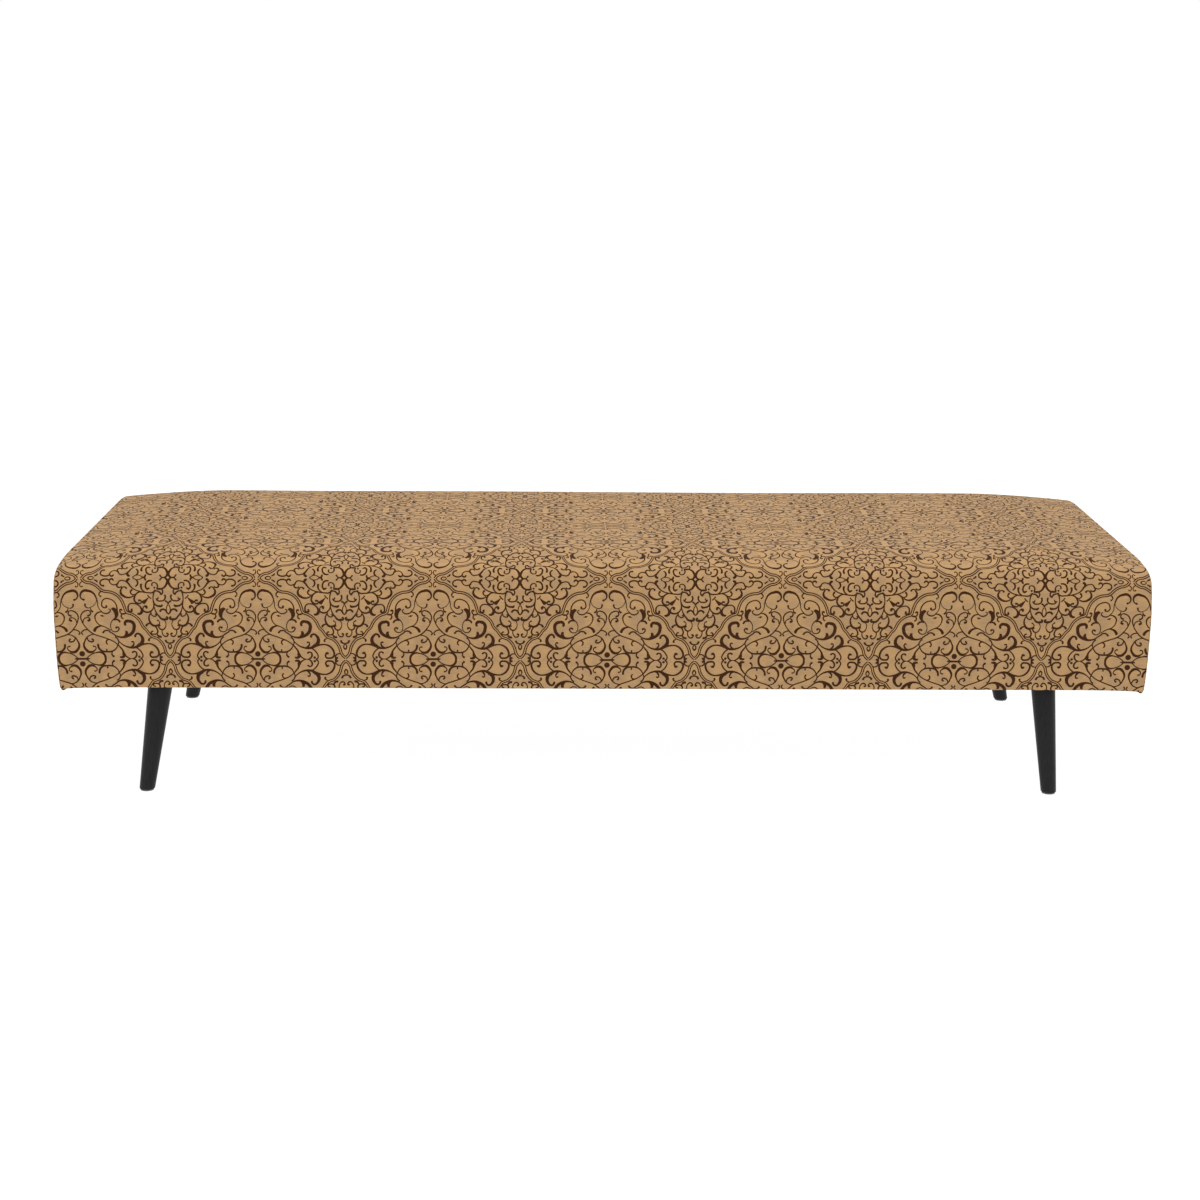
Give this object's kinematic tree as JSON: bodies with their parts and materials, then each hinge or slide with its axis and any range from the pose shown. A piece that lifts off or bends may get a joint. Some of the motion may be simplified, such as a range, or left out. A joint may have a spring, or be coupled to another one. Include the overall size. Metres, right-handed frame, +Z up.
{
  "type": "backless divan",
  "caption": "Long low backless divan: a crowned upholstered slab in a scrollwork fabric on splayed, tapered black legs.",
  "frame": {"origin": "on the floor, under the middle of the slab", "axes": "+X along the divan, towards the right end seen from the front; +Y from the front to the back; +Z up"},
  "size_m": [2, 0.75, 0.452],
  "materials": {
    "woven_cover": "matte",
    "polyester_wadding": "matte",
    "seat_foam": "matte",
    "grey_felt": "matte",
    "elastic_webbing": "matte",
    "sawn_pine": "satin",
    "zinc_steel": "satin",
    "black_stained_beech": "satin",
    "grey_glide": "matte",
    "black_dust_cloth": "matte"
  },
  "bodies": {
    "root": {"cover_end_panel_left": "woven_cover", "cover_end_panel_right": "woven_cover", "cover_main_panel": "woven_cover", "cross_rail_left": "sawn_pine", "cross_rail_middle": "sawn_pine", "cross_rail_right": "sawn_pine", "dust_cover": "black_dust_cloth", "felt_pad": "grey_felt", "foam_block": "seat_foam", "glides": "grey_glide", "hanger_bolts": "zinc_steel", "leg_block_front_left": "sawn_pine", "leg_block_front_right": "sawn_pine", "leg_block_rear_left": "sawn_pine", "leg_block_rear_right": "sawn_pine", "leg_front_left": "black_stained_beech", "leg_front_right": "black_stained_beech", "leg_plate_front_left": "zinc_steel", "leg_plate_front_right": "zinc_steel", "leg_plate_rear_left": "zinc_steel", "leg_plate_rear_right": "zinc_steel", "leg_rear_left": "black_stained_beech", "leg_rear_right": "black_stained_beech", "rail_front": "sawn_pine", "rail_left": "sawn_pine", "rail_rear": "sawn_pine", "rail_right": "sawn_pine", "wadding_wrap": "polyester_wadding", "webbing_crosswise_01": "elastic_webbing", "webbing_crosswise_02": "elastic_webbing", "webbing_crosswise_03": "elastic_webbing", "webbing_crosswise_04": "elastic_webbing", "webbing_crosswise_05": "elastic_webbing", "webbing_crosswise_06": "elastic_webbing", "webbing_crosswise_07": "elastic_webbing", "webbing_crosswise_08": "elastic_webbing", "webbing_crosswise_09": "elastic_webbing", "webbing_crosswise_10": "elastic_webbing", "webbing_lengthwise_1": "elastic_webbing", "webbing_lengthwise_2": "elastic_webbing", "webbing_lengthwise_3": "elastic_webbing", "webbing_lengthwise_4": "elastic_webbing"}
  },
  "joints": []
}
